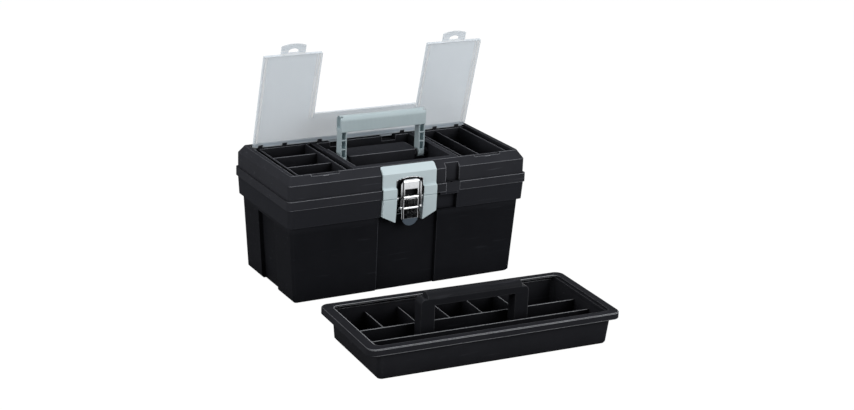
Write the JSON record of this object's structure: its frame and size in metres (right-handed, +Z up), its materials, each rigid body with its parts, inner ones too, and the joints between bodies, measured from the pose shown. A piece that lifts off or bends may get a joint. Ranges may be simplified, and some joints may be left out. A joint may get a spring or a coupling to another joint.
{
  "type": "hard tool case",
  "caption": "Rectangular moulded tool case with hinged lid, draw latch, fold-down carry handle, clear hinged organiser cover and a loose lift-out tray with a handle.",
  "frame": {"origin": "centre of the case's flat underside, on the ground; the loose tray lies in front of the case", "axes": "+Z up; +X along the case's length, to the right seen from the front; the front with the latch faces -Y"},
  "size_m": [0.4128, 0.5169, 0.3636],
  "materials": {
    "black_plastic": "fine-grained black polypropylene",
    "tray_plastic": "smooth black polypropylene, slightly glossier than the case",
    "grey_plastic": "satin light grey-blue polypropylene",
    "clear_plastic": "hazy translucent polypropylene, colourless with a cool tint",
    "chrome": "bright nickel-chrome plated sheet steel",
    "zinc_steel": "plain zinc-plated steel"
  },
  "bodies": {
    "tub": {"tub_shell": "black_plastic", "lid_hinge_pins": "zinc_steel", "lower_latch_surround": "grey_plastic", "latch_bracket": "chrome", "bracket_rivets": "zinc_steel", "lever_pivot_pin": "zinc_steel", "tub_padlock_plate": "black_plastic"},
    "lid": {"lid_shell": "black_plastic", "upper_latch_surround": "grey_plastic", "slot_trim": "chrome", "latch_keeper": "chrome", "keeper_rivets": "zinc_steel", "lid_padlock_plate": "black_plastic", "left_dividers": "black_plastic", "right_divider": "black_plastic", "handle_pivot_pins": "zinc_steel"},
    "handle": {"carry_handle": "grey_plastic"},
    "cover": {"clear_cover": "clear_plastic"},
    "tab_left": {"left_cover_tab": "clear_plastic"},
    "tab_right": {"right_cover_tab": "clear_plastic"},
    "lever": {"latch_lever": "chrome", "link_pin": "zinc_steel"},
    "link": {"latch_link": "chrome"},
    "tray": {"tray_body": "tray_plastic", "tray_dividers": "tray_plastic", "tray_handle": "tray_plastic"}
  },
  "joints": [
    {"name": "lid_hinge", "type": "hinge", "parent": "tub", "child": "lid", "pos_m": [0, 0.1055, 0.148], "axis": [-1, 0, 0], "range_deg": [0, 100]},
    {"name": "handle_fold", "type": "hinge", "parent": "lid", "child": "handle", "pos_m": [0, 0.0048, 0.182], "axis": [1, 0, 0], "range_deg": [0, 90]},
    {"name": "cover_hinge", "type": "hinge", "parent": "lid", "child": "cover", "pos_m": [0, 0.075, 0.1972], "axis": [-1, 0, 0], "range_deg": [-75.2, 20]},
    {"name": "tab_left_fold", "type": "hinge", "parent": "cover", "child": "tab_left", "pos_m": [0, 0.03104, 0.35263], "axis": [1, 0, 0], "range_deg": [0, 90], "stiffness_Nm_per_rad": 0.002},
    {"name": "tab_right_fold", "type": "hinge", "parent": "cover", "child": "tab_right", "pos_m": [0, 0.03104, 0.35263], "axis": [1, 0, 0], "range_deg": [0, 90], "stiffness_Nm_per_rad": 0.002},
    {"name": "latch_lever_swing", "type": "hinge", "parent": "tub", "child": "lever", "pos_m": [0, -0.0964, 0.1466], "axis": [-1, 0, 0], "range_deg": [0, 90]},
    {"name": "latch_link_swing", "type": "hinge", "parent": "lever", "child": "link", "pos_m": [0, -0.1008, 0.133], "axis": [-1, 0, 0], "range_deg": [-130, 0]},
    {"name": "tray_lift", "type": "slide", "parent": "tub", "child": "tray", "axis": [0, 0, 1], "range_m": [0, 0.26]}
  ],
  "couplings": [
    {"joint": "latch_link_swing", "follows": "latch_lever_swing", "ratio": -1.2}
  ]
}
